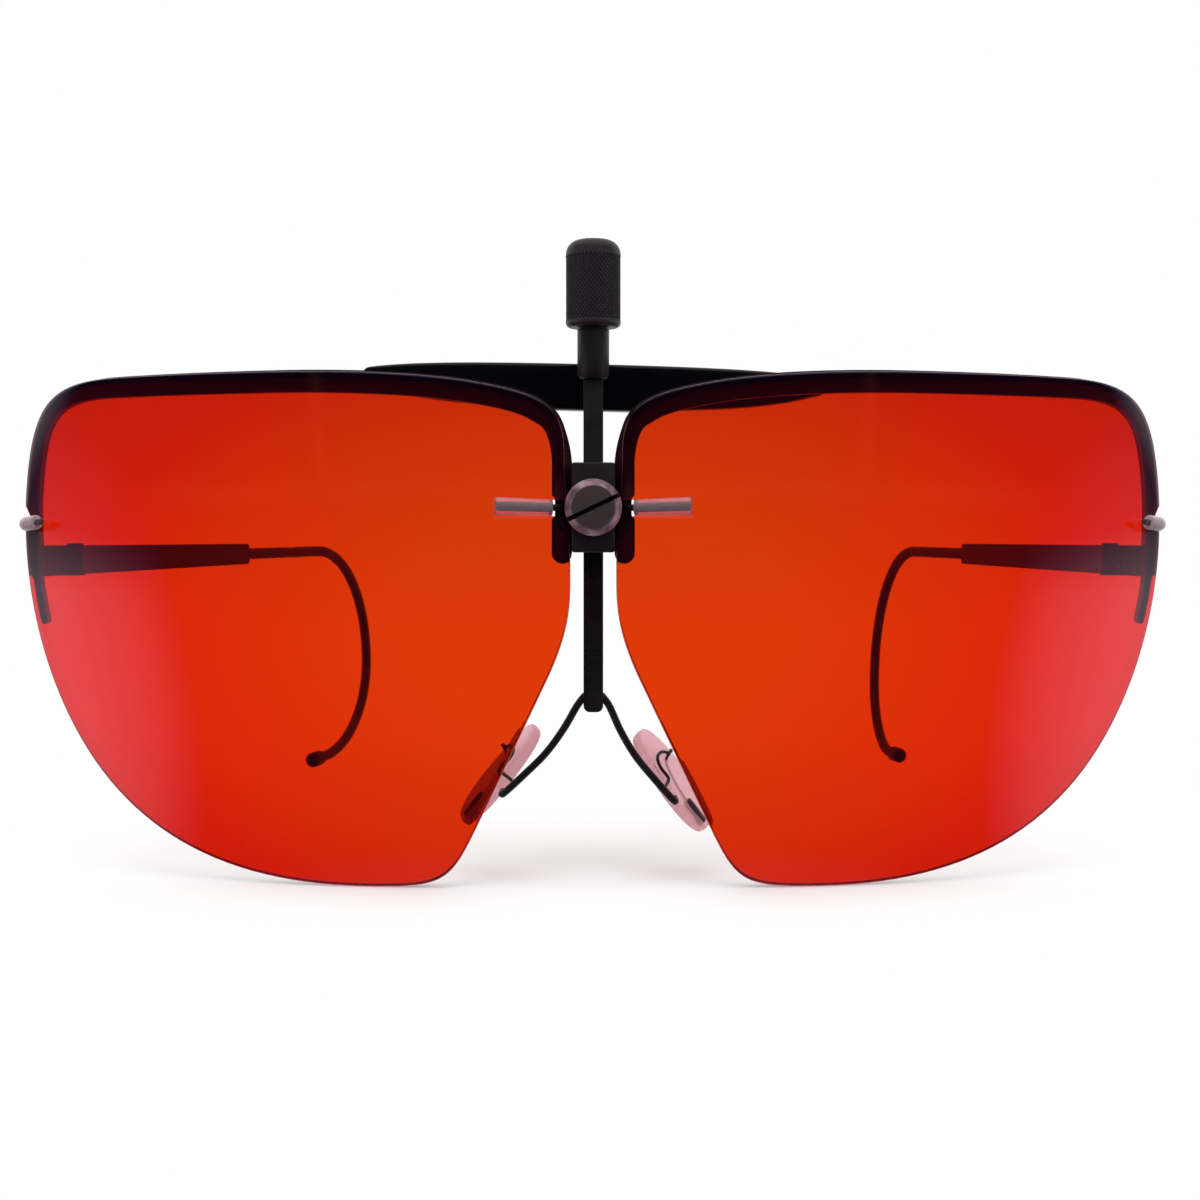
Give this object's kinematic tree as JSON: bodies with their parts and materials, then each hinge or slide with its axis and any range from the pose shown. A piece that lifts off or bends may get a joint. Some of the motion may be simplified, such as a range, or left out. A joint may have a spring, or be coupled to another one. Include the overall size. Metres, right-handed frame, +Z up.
{
  "type": "shooting glasses",
  "caption": "Rimless-bottomed shooting glasses with large tinted lenses on half rims, a height-adjustable nose bar with knob, brow bar, nose pads and folding temples with ear cables.",
  "frame": {"origin": "middle of the footprint on the surface that the lens bottoms and the cable tips stand on", "axes": "+Z up, the lenses face -Y, the temples run back along +Y, +X is to the right of someone who looks at the front"},
  "size_m": [0.152, 0.139, 0.0804],
  "materials": {
    "lens_tint": "clear orange-red moulded lens, polished",
    "black_metal": "satin black coating on steel",
    "knob_black": "black knurled metal",
    "worn_steel": "darkened steel, brightened on its edges",
    "prong_steel": "dark drawn wire",
    "clear_sleeve": "clear vinyl tube, slightly pink",
    "clear_silicone": "clear soft silicone, pink from the lenses",
    "brow_plastic": "polished black moulding",
    "cable_black": "black wound cable",
    "tip_plastic": "black moulded cap"
  },
  "bodies": {
    "front": {"bridge_block": "black_metal", "brow_bar": "brow_plastic", "lens_left": "lens_tint", "rim_left": "black_metal", "inner_prong_left": "prong_steel", "outer_prong_left": "prong_steel", "inner_sleeve_left": "clear_sleeve", "outer_sleeve_left": "clear_sleeve", "brow_stud_left": "black_metal", "endpiece_left": "black_metal", "hinge_screw_left": "worn_steel", "lens_right": "lens_tint", "rim_right": "black_metal", "inner_prong_right": "prong_steel", "outer_prong_right": "prong_steel", "inner_sleeve_right": "clear_sleeve", "outer_sleeve_right": "clear_sleeve", "brow_stud_right": "black_metal", "endpiece_right": "black_metal", "hinge_screw_right": "worn_steel"},
    "left_temple": {"temple_bar_left": "black_metal", "ear_cable_left": "cable_black", "cable_tip_left": "tip_plastic"},
    "right_temple": {"temple_bar_right": "black_metal", "ear_cable_right": "cable_black", "cable_tip_right": "tip_plastic"},
    "nose_slide": {"nose_bar": "black_metal", "knob_ferrule": "black_metal", "knurled_knob": "knob_black", "pad_arm_left": "black_metal", "pad_box_left": "black_metal", "pad_pin_left": "worn_steel", "pad_arm_right": "black_metal", "pad_box_right": "black_metal", "pad_pin_right": "worn_steel"},
    "left_pad": {"nose_pad_left": "clear_silicone", "pad_insert_left": "worn_steel"},
    "right_pad": {"nose_pad_right": "clear_silicone", "pad_insert_right": "worn_steel"},
    "clamp": {"clamp_screw": "worn_steel"}
  },
  "joints": [
    {"name": "left_temple_fold", "type": "hinge", "parent": "front", "child": "left_temple", "pos_m": [-0.0698, -0.04133, 0.0405], "axis": [0, 0, -1], "range_deg": [-13.5, 76.5]},
    {"name": "right_temple_fold", "type": "hinge", "parent": "front", "child": "right_temple", "pos_m": [0.0698, -0.04133, 0.0405], "axis": [0, 0, 1], "range_deg": [-9, 73]},
    {"name": "nose_bar_slide", "type": "slide", "parent": "front", "child": "nose_slide", "axis": [0, 0, 1], "range_m": [-0.0101, 0.016]},
    {"name": "clamp_screw_turn", "type": "hinge", "parent": "front", "child": "clamp", "pos_m": [0, -0.06676, 0.04745], "axis": [0, -1, 0], "range_deg": [0, 360]},
    {"name": "left_pad_rock", "type": "hinge", "parent": "nose_slide", "child": "left_pad", "pos_m": [-0.01158, -0.05367, 0.01695], "axis": [-0.1748, 0.9744, 0.1416], "range_deg": [-10, 10]},
    {"name": "right_pad_rock", "type": "hinge", "parent": "nose_slide", "child": "right_pad", "pos_m": [0.00987, -0.05391, 0.01603], "axis": [0.2749, 0.9397, 0.2034], "range_deg": [-10, 10]}
  ]
}
